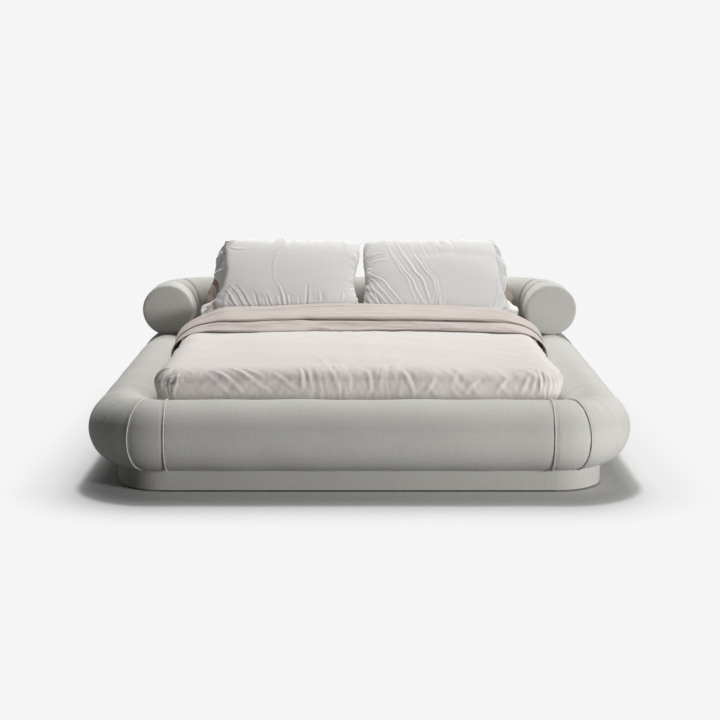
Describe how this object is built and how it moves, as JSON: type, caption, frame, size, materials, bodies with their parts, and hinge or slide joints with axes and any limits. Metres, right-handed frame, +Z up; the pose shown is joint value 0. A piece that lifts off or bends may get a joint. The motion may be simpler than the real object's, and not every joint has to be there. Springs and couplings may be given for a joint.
{
  "type": "upholstered bed",
  "caption": "Low upholstered double bed: thick round padded rail bent round the mattress, a round bolster headboard, a set-back plinth, slatted base, mattress, blanket and pillows.",
  "frame": {"origin": "on the floor, at the middle of the bed's footprint", "axes": "+Z up, +Y from the foot end to the head end, +X to the right when seen from the foot end"},
  "size_m": [2.43, 2.6347, 0.9076],
  "materials": {
    "upholstery": "matte",
    "plinth_upholstery": "matte",
    "seam_piping": "matte",
    "plywood": "matte",
    "pine": "matte",
    "beech_ply": "satin",
    "holder_rubber": "matte",
    "black_glide": "matte",
    "plate_steel": "satin",
    "zinc_steel": "satin",
    "mattress_ticking": "matte",
    "coverlet_cotton": "matte",
    "blanket_wool": "matte",
    "white_pillow_cotton": "matte",
    "taupe_pillow_cotton": "matte"
  },
  "bodies": {
    "bed_frame": {"bolster_arm_cover_left": "upholstery", "bolster_arm_cover_right": "upholstery", "bolster_back_cover": "upholstery", "bolster_bolts": "zinc_steel", "bolster_end_caps": "upholstery", "bolster_frame": "plywood", "centre_beam": "pine", "centre_legs": "pine", "corner_carcases": "plywood", "corner_cover_foot_left": "upholstery", "corner_cover_foot_right": "upholstery", "corner_cover_head_left": "upholstery", "corner_cover_head_right": "upholstery", "corner_plates": "plate_steel", "glide_strip_foot": "black_glide", "glide_strip_head": "black_glide", "glide_strip_left": "black_glide", "glide_strip_right": "black_glide", "leg_pads": "black_glide", "plate_bolts": "zinc_steel", "plinth_board_foot": "plywood", "plinth_board_head": "plywood", "plinth_board_left": "plywood", "plinth_board_right": "plywood", "plinth_cloth": "plinth_upholstery", "plinth_corner_foot_left": "plywood", "plinth_corner_foot_right": "plywood", "plinth_corner_head_left": "plywood", "plinth_corner_head_right": "plywood", "rail_carcase_foot": "plywood", "rail_carcase_head": "plywood", "rail_carcase_left": "plywood", "rail_carcase_right": "plywood", "rail_cover_foot": "upholstery", "rail_cover_head": "upholstery", "rail_cover_left": "upholstery", "rail_cover_right": "upholstery", "seam_welts": "seam_piping", "shelf_foot": "plywood", "shelf_head": "plywood", "shelf_left": "plywood", "shelf_right": "plywood", "shelf_screws": "zinc_steel"},
    "slatted_base": {"base_rail_centre": "pine", "base_rail_foot": "pine", "base_rail_head": "pine", "base_rail_left": "pine", "base_rail_right": "pine", "slat_holders": "holder_rubber", "slats": "beech_ply"},
    "mattress": {"mattress": "mattress_ticking", "coverlet": "coverlet_cotton"},
    "blanket": {"blanket": "blanket_wool"},
    "front_pillow_left": {"front_pillow_left": "white_pillow_cotton"},
    "front_pillow_right": {"front_pillow_right": "white_pillow_cotton"},
    "rear_pillow_left": {"rear_pillow_left": "taupe_pillow_cotton"},
    "rear_pillow_right": {"rear_pillow_right": "taupe_pillow_cotton"}
  },
  "joints": [
    {"name": "slatted_base_lift", "type": "slide", "parent": "bed_frame", "child": "slatted_base", "axis": [0, 0, 1], "range_m": [0, 0.3]},
    {"name": "mattress_lift", "type": "slide", "parent": "slatted_base", "child": "mattress", "axis": [0, 0, 1], "range_m": [0, 0.4]},
    {"name": "blanket_lift", "type": "slide", "parent": "mattress", "child": "blanket", "axis": [0, 0, 1], "range_m": [0, 0.3]},
    {"name": "front_pillow_left_lift", "type": "slide", "parent": "mattress", "child": "front_pillow_left", "axis": [0, 0.5, 0.866], "range_m": [0, 0.3]},
    {"name": "front_pillow_right_lift", "type": "slide", "parent": "mattress", "child": "front_pillow_right", "axis": [0, 0.5, 0.866], "range_m": [0, 0.3]},
    {"name": "rear_pillow_left_lift", "type": "slide", "parent": "mattress", "child": "rear_pillow_left", "axis": [0, 0.5, 0.866], "range_m": [0, 0.3]},
    {"name": "rear_pillow_right_lift", "type": "slide", "parent": "mattress", "child": "rear_pillow_right", "axis": [0, 0.5, 0.866], "range_m": [0, 0.3]}
  ]
}
